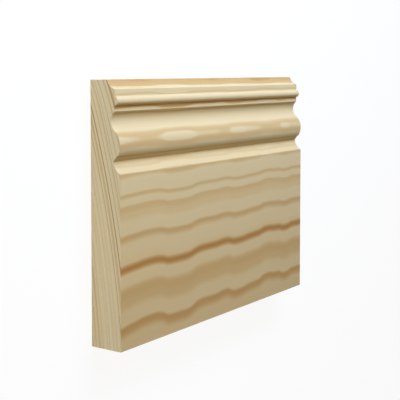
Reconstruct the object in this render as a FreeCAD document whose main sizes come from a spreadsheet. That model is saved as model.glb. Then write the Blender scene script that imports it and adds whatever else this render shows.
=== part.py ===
import FreeCAD, Part
import math
import os
import Sketcher

# A short length of moulded softwood skirting board, planed from one piece of wood.
# Millimetres. The board lies on its back, as it does in a timber rack:
#   X runs along the length, with the origin at mid length
#   Y runs up the board as it stands against a wall, with the origin at mid height
#   Z is out of the wall, with the origin on the flat back
# The section is given as a joiner sets it out. A setback is how far a member lies behind
# the plain face, and a height or a fall is measured down the board from the top edge.

NODE = "skirting_board"
PARTS_FOLDER = "parts"

SIZES = [
    ("board_length", 195.0, "square cut length"),
    ("board_height", 145.0, "from the floor edge to the top edge"),
    ("board_thickness", 20.5, "from the flat back to the plain face"),
    ("top_setback", 8.9, "front of the flat top edge"),
    ("top_cove_height", 3.8, "shallow hollow under the top edge"),
    ("top_cove_radius", 9.0, "shallow hollow under the top edge"),
    ("ledge_setback", 6.3, "back of the weathered ledge"),
    ("ledge_fall", 1.1, "slope of the weathered ledge"),
    ("upper_fillet_setback", 3.6, "flat band over the bead"),
    ("upper_fillet_height", 3.8, "flat band over the bead"),
    ("bead_setback", 1.5, "foremost line of the bead"),
    ("bead_radius", 2.6, "bead"),
    ("lower_fillet_setback", 3.7, "flat band under the bead"),
    ("lower_fillet_height", 3.0, "flat band under the bead"),
    ("scotia_setback", 6.1, "deepest line of the hollow of the ogee"),
    ("scotia_radius", 6.5, "hollow of the ogee"),
    ("torus_radius", 10.0, "round of the ogee, flush with the plain face"),
    ("torus_drop", 5.9, "from the foremost line of the round to its lower arris"),
    ("quirk_step", 0.6, "small step back under the round"),
    ("quirk_setback", 4.6, "bottom of the quirk"),
    ("quirk_fall", 2.8, "slope from the small step to the bottom of the quirk"),
    ("foot_cove_height", 6.6, "hollow from the quirk out to the plain face"),
    ("foot_cove_radius", 8.8, "hollow from the quirk out to the plain face"),
]

START = 1
END = 2
CENTRE = 3
ORIGIN = -1
FULL_TURN = 2 * math.pi


def make_sheet(doc):
    """The spreadsheet that holds every driving size under its own alias."""
    sheet = doc.addObject("Spreadsheet::Sheet", "Sizes")
    for row, (alias, value, note) in enumerate(SIZES, start=1):
        sheet.set("A%d" % row, alias)
        sheet.set("B%d" % row, str(value))
        sheet.set("C%d" % row, note)
        sheet.setAlias("B%d" % row, alias)
    doc.recompute()
    return sheet


def origin_plane(body, role):
    """One of the body's own origin planes."""
    for feature in body.Origin.OriginFeatures:
        if feature.Role == role:
            return feature
    raise ValueError("no plane " + role)


def half_chord(radius, offset):
    """Half the chord that a line at this offset from the centre cuts from a circle."""
    return math.sqrt(radius ** 2 - offset ** 2)


def hollow_centre(start, end, radius):
    """Centre of a hollow arc between two points, on the left of the way from start to end."""
    chord = end - start
    middle = (start + end) * 0.5
    left = FreeCAD.Vector(-chord.y, chord.x, 0).normalize()
    return middle + left * half_chord(radius, chord.Length / 2)


class Outline:
    """A closed outline, drawn edge by edge clockwise from the back of the floor edge."""

    def __init__(self, sketch):
        self.sketch = sketch
        self.edges = []

    def line(self, start, end):
        """A straight edge."""
        index = self.sketch.addGeometry(Part.LineSegment(start, end), False)
        self.edges.append((index, START, END))
        return index

    def arc(self, centre, first, last):
        """An arc that turns anticlockwise from first to last; returns its index."""
        turn_from = math.atan2(first.y - centre.y, first.x - centre.x)
        turn_to = math.atan2(last.y - centre.y, last.x - centre.x)
        if turn_to < turn_from:
            turn_to += FULL_TURN
        circle = Part.Circle(centre, FreeCAD.Vector(0, 0, 1), (first - centre).Length)
        return self.sketch.addGeometry(Part.ArcOfCircle(circle, turn_from, turn_to), False)

    def hollow(self, centre, start, end):
        """A concave edge: its arc turns the same way as it is drawn."""
        index = self.arc(centre, start, end)
        self.edges.append((index, START, END))
        return index

    def round(self, centre, start, end):
        """A convex edge: its arc turns against the way it is drawn."""
        index = self.arc(centre, end, start)
        self.edges.append((index, END, START))
        return index

    def join(self, smooth):
        """Close the outline; the pairs of edges in smooth meet tangentially."""
        for number, (edge, _, last) in enumerate(self.edges):
            following, first, _ = self.edges[(number + 1) % len(self.edges)]
            kind = "Tangent" if (edge, following) in smooth else "Coincident"
            self.constrain(kind, edge, last, following, first)

    def constrain(self, kind, *items):
        """A constraint between these edges or points."""
        return self.sketch.addConstraint(Sketcher.Constraint(kind, *items))

    def size(self, name, expression, kind, *items):
        """A constraint that starts at the size as drawn and follows the sheet from then on."""
        if kind == "Radius":
            drawn = self.sketch.Geometry[items[0]].Radius
        else:
            way = self.sketch.getPoint(*items[2:]) - self.sketch.getPoint(*items[:2])
            drawn = way.x if kind == "DistanceX" else way.y
        index = self.constrain(kind, *items, drawn)
        self.sketch.renameConstraint(index, name)
        self.sketch.setExpression("Constraints." + name, expression)


def draw_section(sketch, size):
    """The moulded section, seen from its right end: height across, thickness up."""

    def at(setback, drop):
        return FreeCAD.Vector(size["board_height"] / 2 - drop, size["board_thickness"] - setback, 0)

    # Drops of the members below the top edge, one after the other.
    ledge_drop = size["top_cove_height"] + size["ledge_fall"]
    bead_top_drop = ledge_drop + size["upper_fillet_height"]
    bead_centre_setback = size["bead_setback"] + size["bead_radius"]
    bead_centre_drop = bead_top_drop + half_chord(
        size["bead_radius"], size["upper_fillet_setback"] - bead_centre_setback)
    bead_foot_drop = bead_centre_drop + half_chord(
        size["bead_radius"], size["lower_fillet_setback"] - bead_centre_setback)
    fillet_foot_drop = bead_foot_drop + size["lower_fillet_height"]
    scotia_centre_setback = size["scotia_setback"] - size["scotia_radius"]
    scotia_centre_drop = fillet_foot_drop + half_chord(
        size["scotia_radius"], size["lower_fillet_setback"] - scotia_centre_setback)
    ogee_reach = size["torus_radius"] + size["scotia_radius"]
    torus_centre_drop = scotia_centre_drop + half_chord(
        ogee_reach, size["torus_radius"] - scotia_centre_setback)
    torus_foot_drop = torus_centre_drop + size["torus_drop"]
    torus_foot_setback = size["torus_radius"] - half_chord(size["torus_radius"], size["torus_drop"])
    quirk_drop = torus_foot_drop + size["quirk_fall"]
    face_drop = quirk_drop + size["foot_cove_height"]

    # Corners of the section, from the back of the floor edge round to the back of the top.
    back_low = at(size["board_thickness"], size["board_height"])
    front_low = at(0, size["board_height"])
    face_top = at(0, face_drop)
    quirk = at(size["quirk_setback"], quirk_drop)
    step_back = at(torus_foot_setback + size["quirk_step"], torus_foot_drop)
    torus_foot = at(torus_foot_setback, torus_foot_drop)
    torus_centre = at(size["torus_radius"], torus_centre_drop)
    scotia_centre = at(scotia_centre_setback, scotia_centre_drop)
    ogee_turn = torus_centre + (scotia_centre - torus_centre) * (size["torus_radius"] / ogee_reach)
    fillet_foot = at(size["lower_fillet_setback"], fillet_foot_drop)
    bead_foot = at(size["lower_fillet_setback"], bead_foot_drop)
    bead_centre = at(bead_centre_setback, bead_centre_drop)
    bead_top = at(size["upper_fillet_setback"], bead_top_drop)
    ledge_front = at(size["upper_fillet_setback"], ledge_drop)
    ledge_back = at(size["ledge_setback"], size["top_cove_height"])
    top_front = at(size["top_setback"], 0)
    top_back = at(size["board_thickness"], 0)
    foot_cove_centre = hollow_centre(face_top, quirk, size["foot_cove_radius"])
    top_cove_centre = hollow_centre(ledge_back, top_front, size["top_cove_radius"])

    outline = Outline(sketch)
    floor_edge = outline.line(back_low, front_low)
    face = outline.line(front_low, face_top)
    foot_cove = outline.hollow(foot_cove_centre, face_top, quirk)
    outline.line(quirk, step_back)
    step = outline.line(step_back, torus_foot)
    torus = outline.round(torus_centre, torus_foot, ogee_turn)
    scotia = outline.hollow(scotia_centre, ogee_turn, fillet_foot)
    lower_fillet = outline.line(fillet_foot, bead_foot)
    bead = outline.round(bead_centre, bead_foot, bead_top)
    upper_fillet = outline.line(bead_top, ledge_front)
    ledge = outline.line(ledge_front, ledge_back)
    top_cove = outline.hollow(top_cove_centre, ledge_back, top_front)
    top = outline.line(top_front, top_back)
    back = outline.line(top_back, back_low)
    outline.join(smooth=[(torus, scotia)])

    for edge in (face, lower_fillet, upper_fillet, back):
        outline.constrain("Horizontal", edge)
    for edge in (floor_edge, step, top):
        outline.constrain("Vertical", edge)
    outline.constrain("Symmetric", back, START, back, END, ORIGIN, START)

    outline.size("height", "Sizes.board_height", "DistanceX", back, END, back, START)
    outline.size("thickness", "Sizes.board_thickness", "DistanceY", back, END, face, START)

    # Setbacks behind the plain face.
    setbacks = [
        ("top_setback", top, START),
        ("ledge_setback", ledge, END),
        ("upper_fillet_setback", upper_fillet, START),
        ("lower_fillet_setback", lower_fillet, START),
        ("quirk_setback", foot_cove, END),
    ]
    for alias, edge, end in setbacks:
        outline.size(alias, "Sizes." + alias, "DistanceY", edge, end, face, START)
    outline.size("bead_centre_setback", "Sizes.bead_setback + Sizes.bead_radius",
                 "DistanceY", bead, CENTRE, face, START)
    outline.size("torus_centre_setback", "Sizes.torus_radius",
                 "DistanceY", torus, CENTRE, face, START)
    outline.size("scotia_centre_height",
                 "Sizes.board_thickness - Sizes.scotia_setback + Sizes.scotia_radius",
                 "DistanceY", ORIGIN, START, scotia, CENTRE)
    outline.size("quirk_step", "Sizes.quirk_step", "DistanceY", step, START, step, END)

    # Heights and falls down the board.
    falls = [
        ("top_cove_height", top_cove, START, top_cove, END),
        ("ledge_fall", ledge, START, ledge, END),
        ("upper_fillet_height", upper_fillet, START, upper_fillet, END),
        ("lower_fillet_height", lower_fillet, START, lower_fillet, END),
        ("torus_drop", step, END, torus, CENTRE),
        ("quirk_fall", foot_cove, END, step, START),
        ("foot_cove_height", foot_cove, START, foot_cove, END),
    ]
    for alias, lower, lower_end, upper, upper_end in falls:
        outline.size(alias, "Sizes." + alias, "DistanceX", lower, lower_end, upper, upper_end)

    radii = [
        ("top_cove_radius", top_cove),
        ("bead_radius", bead),
        ("scotia_radius", scotia),
        ("torus_radius", torus),
        ("foot_cove_radius", foot_cove),
    ]
    for alias, edge in radii:
        outline.size(alias, "Sizes." + alias, "Radius", edge)


def make_board(doc, size):
    """The board: the moulded section run along the whole length."""
    body = doc.addObject("PartDesign::Body", "Board")
    body.Label = NODE
    sketch = body.newObject("Sketcher::SketchObject", "Section")
    sketch.AttachmentSupport = [(origin_plane(body, "YZ_Plane"), "")]
    sketch.MapMode = "FlatFace"
    draw_section(sketch, size)
    pad = body.newObject("PartDesign::Pad", "Length")
    pad.Profile = sketch
    pad.SideType = "Symmetric"
    pad.setExpression("Length", "Sizes.board_length")
    body.Tip = pad
    body.Placement = FreeCAD.Placement()
    return body


def check(doc, bodies):
    """Stop if anything failed to build."""
    for thing in doc.Objects:
        if "Invalid" in thing.State or "Error" in thing.State:
            raise RuntimeError(thing.Label + " failed: " + str(thing.State))
    for body in bodies:
        shape = body.Shape
        if shape.isNull() or not shape.isValid() or len(shape.Solids) != 1:
            raise RuntimeError(body.Label + " is not one sound solid")


def main():
    doc = FreeCAD.newDocument("SkirtingBoard")
    sheet = make_sheet(doc)
    size = {alias: float(sheet.get(alias)) for alias, _, _ in SIZES}
    bodies = [make_board(doc, size)]
    doc.recompute()
    check(doc, bodies)
    os.makedirs(PARTS_FOLDER, exist_ok=True)
    for body in bodies:
        body.Shape.exportStep(os.path.join(PARTS_FOLDER, body.Label + ".step"))
        box = body.Shape.BoundBox
        print(body.Label, "volume %.1f mm3" % body.Shape.Volume,
              "box %.2f x %.2f x %.2f mm" % (box.XLength, box.YLength, box.ZLength))


main()
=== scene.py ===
import math

import bpy
import numpy as np
from mathutils import Matrix, Vector
from mathutils.geometry import delaunay_2d_cdt


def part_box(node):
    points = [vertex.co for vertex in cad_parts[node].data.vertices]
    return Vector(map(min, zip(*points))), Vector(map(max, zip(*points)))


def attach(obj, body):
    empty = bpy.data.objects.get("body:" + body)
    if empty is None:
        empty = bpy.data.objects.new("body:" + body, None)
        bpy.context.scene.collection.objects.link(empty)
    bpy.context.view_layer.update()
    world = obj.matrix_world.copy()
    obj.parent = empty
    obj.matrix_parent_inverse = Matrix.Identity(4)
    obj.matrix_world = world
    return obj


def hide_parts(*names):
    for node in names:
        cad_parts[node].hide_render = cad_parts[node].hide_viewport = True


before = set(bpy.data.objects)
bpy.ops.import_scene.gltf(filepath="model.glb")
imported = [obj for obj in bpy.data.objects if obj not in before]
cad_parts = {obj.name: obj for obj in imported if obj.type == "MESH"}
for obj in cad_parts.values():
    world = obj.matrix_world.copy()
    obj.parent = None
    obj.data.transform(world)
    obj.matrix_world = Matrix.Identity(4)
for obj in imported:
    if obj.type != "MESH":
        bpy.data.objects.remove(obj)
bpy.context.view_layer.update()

# A short length of moulded pine skirting board, lying on its flat back. X runs along it,
# Y up the board as it stands against a wall, and Z out of the wall. Sizes are in
# millimetres until a mesh, lamp or camera takes them, which are in metres.

NODE = "skirting_board"
BODY = "root"
MM = 0.001

board_low, board_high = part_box(NODE)
LENGTH, HEIGHT, THICKNESS = (board_high - board_low) / MM

# The moulded section. A setback is how far a member lies behind the plain face.
TOP_SETBACK = 8.9
TOP_COVE_HEIGHT = 3.8
TOP_COVE_RADIUS = 9.0
LEDGE_SETBACK = 6.3
LEDGE_FALL = 1.1
UPPER_FILLET_SETBACK = 3.6
UPPER_FILLET_HEIGHT = 3.8
BEAD_SETBACK = 1.5
BEAD_RADIUS = 2.6
LOWER_FILLET_SETBACK = 3.7
LOWER_FILLET_HEIGHT = 3.0
SCOTIA_SETBACK = 6.1
SCOTIA_RADIUS = 6.5
TORUS_RADIUS = 10.0
TORUS_DROP = 5.9
QUIRK_STEP = 0.6
QUIRK_SETBACK = 4.6
QUIRK_FALL = 2.8
FOOT_COVE_HEIGHT = 6.6
FOOT_COVE_RADIUS = 8.8

# How far each arris is eased, at most what share of the run beside it that takes, and in
# how many steps. The rims of the sawn ends are rounded through these angles, in degrees.
EASE = 0.2
EASE_SHARE = 0.4
EASE_STEPS = 5
RIM_EASE = 0.15
RIM_TURNS = (90, 60, 30, 0)

# The mesh: the step in which the section is first drawn, then the longest step on its flats
# and the largest turn from one point to the next, and how far late wood stands out.
DRAWING_STEP = 0.1
FLAT_STEP = 1.25
TURN_STEP = math.radians(8)
RELIEF = 0.04

# The sawn ends are filled inside their outline, where points this close count as one.
INSIDE_ONLY = 1
CLOSE_POINTS = 1e-5

# The growth rings are arcs about a pith far behind the board and a little below it.
# A ring's place is counted outwards from the front arris of the floor edge.
PITH_BEHIND = 580.0
PITH_BELOW = 48.0
ARRIS_RADIUS = math.hypot(THICKNESS + PITH_BEHIND, PITH_BELOW)

# How the rings rise and fall along the board: distance from the left end, rise.
WAVE = [
    (0, -0.16), (14, 0.04), (27, 0.12), (36, 0.01), (40, -0.14), (45, -0.25),
    (58, -0.26), (68, -0.06), (78, 0.09), (90, 0.07), (100, 0.14), (107, 0.0),
    (114, -0.12), (128, -0.01), (140, 0.06), (151, 0.28), (158, 0.18), (166, 0.11),
    (174, -0.08), (184, 0.09), (190, 0.07), (195, 0.12),
]

# The same wave as a curve from 0 to 1: how much rise that spans, and where no rise lies.
WAVE_SPAN = 0.8
WAVE_MIDDLE = 0.5

# Near the top the rings lean out a little faster.
LEAN_FROM = 128.0
LEAN = 0.0035

# Bands of late wood: where each begins, is at its darkest, leaves that and ends, and its
# depth. Bands that overlap add up.
RINGS = [
    (-21.9, -21.2, -21.0, -20.4, 0.40),
    (-20.2, -19.4, -19.2, -18.5, 0.35),
    (-17.9, -17.1, -16.9, -16.1, 0.38),
    (-15.4, -14.5, -14.3, -13.4, 0.46),
    (-13.0, -12.2, -12.0, -11.1, 0.24),
    (-9.8, -9.0, -8.8, -8.1, 0.16),
    (-8.2, -7.45, -7.3, -6.5, 0.18),
    (-5.4, -4.5, -4.3, -3.4, 0.20),
    (-3.3, -2.4, -2.1, -1.2, 0.19),
    (-0.50, 0.20, 0.50, 1.10, 0.10),
    (0.50, 1.08, 1.12, 1.34, 0.87),
    (1.90, 2.60, 3.30, 3.95, 0.40),
    (2.60, 3.20, 3.55, 3.90, 0.13),
    (4.55, 5.12, 5.16, 5.60, 1.45),
    (5.20, 5.50, 5.60, 6.20, 0.08),
    (7.15, 7.83, 7.91, 8.25, 0.59),
    (9.20, 9.95, 10.95, 11.22, 0.20),
    (9.90, 10.85, 10.95, 11.22, 0.22),
    (11.75, 12.20, 12.25, 12.57, 0.46),
    (14.10, 14.80, 14.97, 15.20, 0.47),
    (17.25, 18.50, 18.66, 18.97, 0.48),
    (20.00, 20.55, 21.45, 22.05, 0.77),
    (20.15, 20.50, 20.62, 20.85, 0.35),
    (22.40, 22.80, 22.88, 23.15, 0.30),
]

# Towards the pith the planed faces are deeper in colour: by how much late wood, and from
# where to where that fades out.
MELLOW = 0.25
MELLOW_FADES = (-2.0, 24.0)

# The planed faces have fainter rings in the foot cove: by how much, and over which heights
# above the floor edge that sets in and ends.
COVE_FAINTER = 0.6
COVE_SETS_IN = (96.0, 98.0)
COVE_ENDS = (101.3, 102.0)

# Away from the pith the sawn ends are duller: by how much, and from where to where that
# sets in.
DULLER = 0.11
DULLER_SETS_IN = (-10.0, 22.0)

# Clear early wood, and what late wood of depth 1 leaves of its colour on the planed faces
# and on the sawn ends, where it is greyer.
PALE = (0.620, 0.491, 0.293)
LATE_WOOD_KEEPS = (0.73, 0.55, 0.36)
END_GRAIN_KEEPS = (0.66, 0.51, 0.35)
WHITE = (1.0, 1.0, 1.0)

# The wood is uneven in four ways: its rings drift, fibres and clouds change its tone, and
# pores and fine rings show on the sawn ends. A pace is how fast that changes for each
# millimetre along X, Y and Z, and the number after it is how much it changes.
DRIFT_PACE = (0.02, 0.02, 0.1)
DRIFT = 0.16
FIBRE_PACE = (0.03, 1.6, 1.6)
FIBRE_TONE = 0.06
CLOUD_PACE = (0.015, 0.06, 0.06)
CLOUD_TONE = 0.06
PORE_PACE = (0.0, 0.5, 2.0)
FINE_RING_PACE = 1.2
END_TONE = 0.2

# How many finer layers the fibres, pores and fine rings have.
FINE_DETAIL = 3.0

# The planed surface: its roughness and gloss, and how deep and strong its fibres are.
ROUGHNESS = 0.65
GLOSS = 0.08
FIBRE_DEPTH = 0.02
FIBRE_STRENGTH = 0.4


def half_chord(radius, offset):
    """Half the chord that a line at this offset from the centre cuts from a circle."""
    return math.sqrt(radius ** 2 - offset ** 2)


def section_corners():
    """The corners of the section as (height, setback), clockwise from the floor edge's front."""
    bead_centre = BEAD_SETBACK + BEAD_RADIUS
    scotia_centre = SCOTIA_SETBACK - SCOTIA_RADIUS
    ogee_reach = TORUS_RADIUS + SCOTIA_RADIUS

    ledge_back = HEIGHT - TOP_COVE_HEIGHT
    ledge_front = ledge_back - LEDGE_FALL
    bead_top = ledge_front - UPPER_FILLET_HEIGHT
    bead_middle = bead_top - half_chord(BEAD_RADIUS, UPPER_FILLET_SETBACK - bead_centre)
    bead_foot = bead_middle - half_chord(BEAD_RADIUS, LOWER_FILLET_SETBACK - bead_centre)
    fillet_foot = bead_foot - LOWER_FILLET_HEIGHT
    scotia_middle = fillet_foot - half_chord(SCOTIA_RADIUS, LOWER_FILLET_SETBACK - scotia_centre)
    torus_middle = scotia_middle - half_chord(ogee_reach, TORUS_RADIUS - scotia_centre)
    turn = TORUS_RADIUS / ogee_reach
    ogee_turn = torus_middle + (scotia_middle - torus_middle) * turn
    ogee_turn_setback = TORUS_RADIUS + (scotia_centre - TORUS_RADIUS) * turn
    torus_foot = torus_middle - TORUS_DROP
    torus_foot_setback = TORUS_RADIUS - half_chord(TORUS_RADIUS, TORUS_DROP)
    quirk = torus_foot - QUIRK_FALL
    face_top = quirk - FOOT_COVE_HEIGHT

    # Each corner with the stretch that follows it: the arc's radius, over 0 where it
    # bulges out and under 0 where it is hollow, or 0 for a straight run.
    return [
        ((0, 0), 0),
        ((face_top, 0), -FOOT_COVE_RADIUS),
        ((quirk, QUIRK_SETBACK), 0),
        ((torus_foot, torus_foot_setback + QUIRK_STEP), 0),
        ((torus_foot, torus_foot_setback), TORUS_RADIUS),
        ((ogee_turn, ogee_turn_setback), -SCOTIA_RADIUS),
        ((fillet_foot, LOWER_FILLET_SETBACK), 0),
        ((bead_foot, LOWER_FILLET_SETBACK), BEAD_RADIUS),
        ((bead_top, UPPER_FILLET_SETBACK), 0),
        ((ledge_front, UPPER_FILLET_SETBACK), 0),
        ((ledge_back, LEDGE_SETBACK), -TOP_COVE_RADIUS),
        ((HEIGHT, TOP_SETBACK), 0),
        ((HEIGHT, THICKNESS), 0),
        ((0, THICKNESS), 0),
    ]


def stretch(start, end, radius):
    """Points from start to end: a straight run, or an arc of this radius."""
    chord = end - start
    length = np.hypot(*chord)
    count = max(2, round(length / DRAWING_STEP))
    share = np.linspace(0, 1, count + 1)[:, None]
    if radius == 0:
        return start + chord * share
    outward = np.array([-chord[1], chord[0]]) / length * math.copysign(1, radius)
    reach = half_chord(abs(radius), length / 2)
    centre = (start + end) / 2 - outward * reach
    half_turn = math.asin(length / 2 / abs(radius))
    angle = (share * 2 - 1) * half_turn
    return centre + abs(radius) * (outward * np.cos(angle) + chord / length * np.sin(angle))


def distances(points):
    """How far along the line each point lies."""
    return np.append(0, np.cumsum(np.hypot(*np.diff(points, axis=0).T)))


def point_at(points, place, measure):
    """The points of a line at these places of its measure."""
    return np.stack([np.interp(place, measure, points[:, k]) for k in range(2)], axis=-1)


def rounding(before, corner, after):
    """Points on the arc that rounds a corner off between the points before and after it."""
    legs = np.hypot(*(corner - before)) + np.hypot(*(after - corner))
    pull = np.hypot(*(after - before)) / legs
    share = np.linspace(0, 1, EASE_STEPS + 1)[1:-1, None]
    shares = ((1 - share) ** 2, 2 * pull * share * (1 - share), share ** 2)
    return sum(w * p for w, p in zip(shares, (before, corner, after))) / sum(shares)


def eased_outline():
    """The section as (y, z) points, with every arris eased by a small curve."""
    corners = section_corners()
    places = [np.array([height - HEIGHT / 2, THICKNESS - setback])
              for (height, setback), _ in corners]
    runs = [stretch(here, after, radius) for here, after, (_, radius)
            in zip(places, places[1:] + places[:1], corners)]
    cuts = [min(EASE, EASE_SHARE * distances(run)[-1]) for run in runs]
    outline = []
    for number, run in enumerate(runs):
        way = distances(run)
        spare = cuts[number] + DRAWING_STEP / 2
        inner = way[(way > spare) & (way < way[-1] - spare)]
        place = np.concatenate([[cuts[number]], inner, [way[-1] - cuts[number]]])
        kept = point_at(run, place, way)
        outline.extend(kept)
        following = (number + 1) % len(runs)
        after = point_at(runs[following], cuts[following], distances(runs[following]))
        outline.extend(rounding(kept[-1], run[-1], after))
    return np.array(outline)


def divided(outline):
    """The closed outline again, with close points on its curves and even ones on its flats."""
    closed = np.vstack([outline, outline[:1]])
    step = np.diff(closed, axis=0)
    heading = np.unwrap(np.arctan2(step[:, 1], step[:, 0]))
    turn = np.abs(np.diff(np.append(heading[-1] + 2 * math.pi, heading)))
    weight = np.hypot(*step.T) / FLAT_STEP + turn / TURN_STEP
    measure = np.append(0, np.cumsum(weight))
    count = math.ceil(measure[-1])
    return point_at(closed, np.linspace(0, measure[-1], count + 1)[:-1], measure)


def inward_normals(outline):
    """The direction into the wood at each point of a closed clockwise outline."""
    along = np.roll(outline, -1, axis=0) - np.roll(outline, 1, axis=0)
    along /= np.hypot(*along.T)[:, None]
    return np.stack([along[:, 1], -along[:, 0]], axis=-1)


def ring_place(along, y, z):
    """Where a point of the board lies among the growth rings."""
    height = y + HEIGHT / 2
    lean = LEAN * np.maximum(height - LEAN_FROM, 0) ** 2
    wave = np.interp(along, *zip(*WAVE))
    return np.hypot(z + PITH_BEHIND, height + PITH_BELOW) - ARRIS_RADIUS + lean - wave


def smooth_step(value, low, high):
    """0 below low, 1 above high and an even S between them."""
    share = np.clip((value - low) / (high - low), 0, 1)
    return share * share * (3 - 2 * share)


def late_wood(place):
    """How much late wood there is at a place among the rings, 1 being plainly dark."""
    total = 0
    for begins, full, leaves, ends, depth in RINGS:
        rise = smooth_step(place, begins, full)
        total = total + depth * rise * (1 - smooth_step(place, leaves, ends))
    return total


def end_triangles(rim):
    """The sawn end as triangles between the points of its rim, seen from +X."""
    flat = [Vector((y, z)) for _, y, z in rim]
    return delaunay_2d_cdt(flat, [], [list(range(len(flat)))], INSIDE_ONLY, CLOSE_POINTS)[2]


def board_mesh():
    """The planed board: its section swept along X, with eased ends and raised late wood."""
    outline = divided(eased_outline())
    inward = inward_normals(outline)
    turns = [math.radians(turn) for turn in RIM_TURNS]
    rim = [(RIM_EASE * (1 - math.sin(turn)), RIM_EASE * (1 - math.cos(turn))) for turn in turns]
    count = round(LENGTH / FLAT_STEP)
    body = [(place, 0.0) for place in np.linspace(RIM_EASE, LENGTH - RIM_EASE, count)[1:-1]]
    stations = rim + body + [(LENGTH - place, inset) for place, inset in reversed(rim)]

    vertices = []
    for place, inset in stations:
        late = late_wood(ring_place(place, outline[:, 0], outline[:, 1]))
        early = 1 - np.clip(late, 0, 1)
        ring = outline + inward * (inset + RELIEF * early)[:, None]
        vertices.extend((place - LENGTH / 2, y, z) for y, z in ring)

    around = len(outline)
    far = len(vertices) - around
    faces = [tuple(reversed(corners)) for corners in end_triangles(vertices[:around])]
    faces += [tuple(far + corner for corner in corners) for corners in end_triangles(vertices[far:])]
    end_faces = len(faces)
    for row in range(len(stations) - 1):
        for here in range(around):
            after = (here + 1) % around
            low, high = row * around, (row + 1) * around
            faces.append((low + here, high + here, high + after, low + after))

    mesh = bpy.data.meshes.new(NODE)
    mesh.from_pydata([Vector(v) * MM for v in vertices], [], faces)
    mesh.validate()
    mesh.shade_smooth()
    for end_grain in mesh.polygons[:end_faces]:
        end_grain.use_smooth = False
    return mesh


def placed(name, data):
    """A new object in the scene, made of this mesh, lamp or camera."""
    made = bpy.data.objects.new(name, data)
    bpy.context.scene.collection.objects.link(made)
    return made


class Shader:
    """The node tree of a material or a world, built one node at a time."""

    def __init__(self, owner):
        owner.use_nodes = True
        self.tree = owner.node_tree
        self.tree.nodes.clear()

    def node(self, kind, inputs=None, **settings):
        """A new node with these settings; an input is a value or another node's socket."""
        made = self.tree.nodes.new("ShaderNode" + kind)
        for name, value in settings.items():
            setattr(made, name, value)
        for socket, value in (inputs or {}).items():
            if isinstance(value, bpy.types.NodeSocket):
                self.tree.links.new(value, made.inputs[socket])
            else:
                made.inputs[socket].default_value = value
        return made

    def math(self, operation, *values):
        """One sum on numbers or sockets."""
        return self.node("Math", dict(enumerate(values)), operation=operation).outputs[0]

    def ramp(self, value, low, high, start=0.0, end=1.0):
        """start below low, end above high and an even S between them."""
        inputs = {"Value": value, "From Min": low, "From Max": high, "To Min": start, "To Max": end}
        return self.node("MapRange", inputs, interpolation_type="SMOOTHSTEP").outputs["Result"]

    def noise(self, vector, scale=1.0, detail=2.0):
        """Noise from 0 to 1 at these coordinates."""
        inputs = {"Vector": vector, "Scale": scale, "Detail": detail}
        return self.node("TexNoise", inputs).outputs["Fac"]

    def varied(self, middle, swing, noise):
        """A value that noise moves about its middle, by half the swing each way."""
        return self.math("MULTIPLY_ADD", noise, swing, middle - swing / 2)

    def stretched(self, vector, x, y, z):
        """The coordinates scaled along each axis."""
        inputs = {0: vector, 1: (x, y, z)}
        return self.node("VectorMath", inputs, operation="MULTIPLY").outputs[0]

    def tinted(self, colour, tint):
        """A plain colour multiplied by a tint from another node."""
        inputs = {0: 1.0, 6: (*colour, 1.0), 7: tint}
        return self.node("Mix", inputs, data_type="RGBA", blend_type="MULTIPLY").outputs[2]


def wave_node(shader, along):
    """The rise and fall of the rings along the board."""
    share = shader.math("DIVIDE", along, LENGTH)
    curve = shader.node("FloatCurve", {"Value": share})
    points = curve.mapping.curves[0].points
    for place, rise in WAVE[1:-1]:
        points.new(place / LENGTH, rise / WAVE_SPAN + WAVE_MIDDLE)
    points[0].location = (0, WAVE[0][1] / WAVE_SPAN + WAVE_MIDDLE)
    points[-1].location = (1, WAVE[-1][1] / WAVE_SPAN + WAVE_MIDDLE)
    curve.mapping.update()
    return shader.math("MULTIPLY", shader.math("SUBTRACT", curve.outputs[0], WAVE_MIDDLE), WAVE_SPAN)


def ring_place_node(shader, x, y, z, along):
    """Where the shaded point lies among the growth rings."""
    behind = shader.math("ADD", z, PITH_BEHIND)
    above = shader.math("ADD", y, HEIGHT / 2 + PITH_BELOW)
    squares = shader.math("MULTIPLY_ADD", above, above, shader.math("MULTIPLY", behind, behind))
    radius = shader.math("SUBTRACT", shader.math("SQRT", squares), ARRIS_RADIUS)
    leaning = shader.math("MAXIMUM", shader.math("SUBTRACT", above, PITH_BELOW + LEAN_FROM), 0.0)
    lean = shader.math("MULTIPLY", shader.math("MULTIPLY", leaning, leaning), LEAN)
    return shader.math("SUBTRACT", shader.math("ADD", radius, lean), wave_node(shader, along))


def late_wood_node(shader, place):
    """How much late wood there is at a place among the rings."""
    total = 0.0
    for begins, full, leaves, ends, depth in RINGS:
        rise = shader.ramp(place, begins, full, 0.0, depth)
        fall = shader.ramp(place, leaves, ends, 1.0, 0.0)
        total = shader.math("MULTIPLY_ADD", rise, fall, total)
    return total


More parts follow.
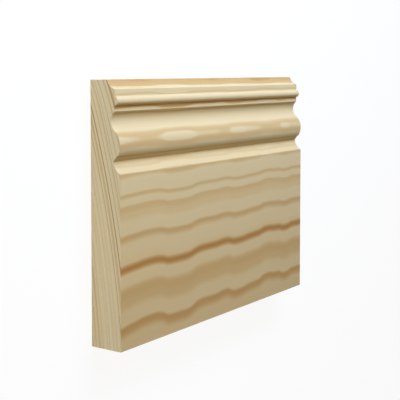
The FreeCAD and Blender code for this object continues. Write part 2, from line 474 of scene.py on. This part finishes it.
def pine():
    """Planed softwood with its growth rings, drawn through the whole thickness."""
    material = bpy.data.materials.new("planed_pine")
    shader = Shader(material)
    place = shader.node("TexCoord").outputs["Object"]
    point = shader.stretched(place, 1 / MM, 1 / MM, 1 / MM)
    x, y, z = shader.node("SeparateXYZ", {0: point}).outputs
    along = shader.math("ADD", x, LENGTH / 2)
    height = shader.math("ADD", y, HEIGHT / 2)
    from_end = shader.math("SUBTRACT", LENGTH / 2, shader.math("ABSOLUTE", x))
    sawn = shader.ramp(from_end, 0.0, RIM_EASE, 1.0, 0.0)
    planed = shader.math("SUBTRACT", 1.0, sawn)

    drift = shader.varied(0.0, DRIFT, shader.noise(shader.stretched(point, *DRIFT_PACE)))
    rings = shader.math("ADD", ring_place_node(shader, x, y, z, along), drift)
    setting_in = shader.ramp(height, *COVE_SETS_IN, 0.0, COVE_FAINTER)
    cove = shader.math("MULTIPLY", setting_in, shader.ramp(height, *COVE_ENDS, 1.0, 0.0))
    shown = shader.math("SUBTRACT", 1.0, shader.math("MULTIPLY", cove, planed))
    banded = shader.math("MULTIPLY", late_wood_node(shader, rings), shown)
    mellow = shader.ramp(rings, *MELLOW_FADES, MELLOW, 0.0)
    late = shader.math("MULTIPLY_ADD", mellow, planed, banded)

    fibre = shader.noise(shader.stretched(point, *FIBRE_PACE), detail=FINE_DETAIL)
    streak = shader.varied(1.0, FIBRE_TONE, fibre)
    patch = shader.varied(1.0, CLOUD_TONE, shader.noise(shader.stretched(point, *CLOUD_PACE)))
    ring_axis = shader.node("CombineXYZ", {0: rings}).outputs[0]
    fine_rings = shader.noise(ring_axis, FINE_RING_PACE, FINE_DETAIL)
    pores = shader.noise(shader.stretched(point, *PORE_PACE), detail=FINE_DETAIL)
    speckle = shader.math("MULTIPLY_ADD", shader.math("ADD", fine_rings, pores), END_TONE, -END_TONE)
    duller = shader.ramp(rings, *DULLER_SETS_IN, 0.0, DULLER)
    end_tone = shader.math("MULTIPLY_ADD", sawn, shader.math("SUBTRACT", speckle, duller), 1.0)
    tone = shader.math("MULTIPLY", shader.math("MULTIPLY", streak, patch), end_tone)

    kept = []
    for face, end in zip(LATE_WOOD_KEEPS, END_GRAIN_KEEPS):
        keeps = shader.math("MULTIPLY_ADD", sawn, end - face, face)
        kept.append(shader.math("MULTIPLY", shader.math("POWER", keeps, late), tone))
    tint = shader.node("CombineXYZ", dict(enumerate(kept))).outputs[0]
    bump = shader.node("Bump", {
        "Height": fibre, "Strength": FIBRE_STRENGTH, "Distance": FIBRE_DEPTH * MM})
    surface = shader.node("BsdfPrincipled", {
        "Base Color": shader.tinted(PALE, tint), "Roughness": ROUGHNESS,
        "Specular IOR Level": GLOSS, "Normal": bump.outputs[0]})
    shader.node("OutputMaterial", {"Surface": surface.outputs[0]})
    return material


def make_board():
    """The board, in the place of the plain solid."""
    board = placed("board", board_mesh())
    board.data.materials.append(pine())
    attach(board, BODY)
    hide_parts(NODE)


def seen_directly(shader):
    """1 where the camera sees a surface itself or in a reflection, and 0 for its light."""
    path = shader.node("LightPath")
    seen = shader.math("MAXIMUM", path.outputs["Is Camera Ray"], path.outputs["Is Glossy Ray"])
    return shader.math("MAXIMUM", seen, path.outputs["Is Transmission Ray"])


# The floor and the backdrop, in metres. A strength of 1 is white to the camera, the floor's
# share of it leaves room for the shadow, and the world's light is what reaches the board.
FLOOR_SIZE = 8.0
FLOOR_COLOUR = (0.9, 0.9, 0.9)
FLOOR_WHITE_SHARE = 0.91
WHITE_STRENGTH = 1.0
WORLD_LIGHT = 0.03


def make_floor():
    """A pale floor that shows nearly white and keeps the soft shadow."""
    material = bpy.data.materials.new("pale_floor")
    shader = Shader(material)
    lit = shader.node("BsdfDiffuse", {"Color": (*FLOOR_COLOUR, 1.0)})
    white = shader.node("Emission", {"Color": (*WHITE, 1.0), "Strength": WHITE_STRENGTH})
    share = shader.math("MULTIPLY", seen_directly(shader), FLOOR_WHITE_SHARE)
    mixed = shader.node("MixShader", {0: share, 1: lit.outputs[0], 2: white.outputs[0]})
    shader.node("OutputMaterial", {"Surface": mixed.outputs[0]})

    half = FLOOR_SIZE / 2
    mesh = bpy.data.meshes.new("floor")
    corners = [(-half, -half, 0), (half, -half, 0), (half, half, 0), (-half, half, 0)]
    mesh.from_pydata(corners, [], [(0, 1, 2, 3)])
    mesh.materials.append(material)
    placed("floor", mesh)


def make_world():
    """Even light from all round, and a white background for the camera."""
    world = bpy.data.worlds.new("studio")
    shader = Shader(world)
    light = shader.node("Background", {"Color": (*WHITE, 1.0), "Strength": WORLD_LIGHT})
    white = shader.node("Background", {"Color": (*WHITE, 1.0), "Strength": WHITE_STRENGTH})
    mixed = shader.node("MixShader", {
        0: seen_directly(shader), 1: light.outputs[0], 2: white.outputs[0]})
    shader.node("OutputWorld", {"Surface": mixed.outputs[0]})
    bpy.context.scene.world = world


# The soft boxes: place, width, depth, power in watts and colour. Each faces the board.
LAMPS_FACE = (0.0, 0.02, 0.01)
DAYLIGHT = (0.82, 1.0, 1.31)
COOL_WHITE = (0.84, 1.0, 1.22)
PLAIN_WHITE = (0.93, 1.0, 1.15)
AMBER = (1.35, 1.0, 0.25)
SOFT_BOXES = {
    "key": ((0.0, 0.511, 0.354), 0.5, 0.2, 3.8, DAYLIGHT),
    "high": ((0.0, 0.406, 0.47), 0.4, 0.3, 1.07, COOL_WHITE),
    "left": ((-0.4, 0.02, 0.703), 0.5, 0.5, 1.27, AMBER),
    "rim": ((1.17, 0.25, 0.11), 0.5, 0.2, 3.0, PLAIN_WHITE),
    "fill": ((-0.72, 0.12, 0.09), 0.4, 0.25, 2.17, COOL_WHITE),
    "back": ((0.0, -0.9, 0.045), 0.6, 0.06, 4.3, PLAIN_WHITE),
}


def make_soft_box(name, place, width, depth, power, colour):
    """A rectangular soft lamp that the camera doesn't see."""
    lamp = bpy.data.lights.new(name, "AREA")
    lamp.shape = "RECTANGLE"
    lamp.size = width
    lamp.size_y = depth
    lamp.energy = power
    lamp.color = colour
    holder = placed(name, lamp)
    holder.location = place
    towards = Vector(LAMPS_FACE) - Vector(place)
    holder.rotation_euler = towards.to_track_quat("-Z", "Y").to_euler()
    holder.visible_camera = False


# The camera looks at the left end and the moulded face. Its places are in metres, its lens
# in millimetres, and its shift in shares of the picture.
CAMERA_PLACE = (-0.4819, 0.0780, 0.3407)
CAMERA_FACES = (0.0, 0.0466, 0.0035)
CAMERA_LENS = 85.7
CAMERA_SHIFT = -0.2
CAMERA_NEAR = 0.01
CAMERA_FAR = 100.0


def make_camera():
    """The camera, with the board's Y upright in its picture."""
    lens = bpy.data.cameras.new("camera")
    lens.lens = CAMERA_LENS
    lens.shift_y = CAMERA_SHIFT
    lens.clip_start = CAMERA_NEAR
    lens.clip_end = CAMERA_FAR
    camera = placed("camera", lens)
    back = (Vector(CAMERA_PLACE) - Vector(CAMERA_FACES)).normalized()
    across = Vector((0, 1, 0)).cross(back).normalized()
    upright = back.cross(across)
    camera.rotation_euler = Matrix((across, upright, back)).transposed().to_euler()
    camera.location = CAMERA_PLACE
    bpy.context.scene.camera = camera


make_camera()
make_board()
make_floor()
make_world()
for lamp_name, settings in SOFT_BOXES.items():
    make_soft_box(lamp_name, *settings)
bpy.context.scene.view_settings.view_transform = "Standard"
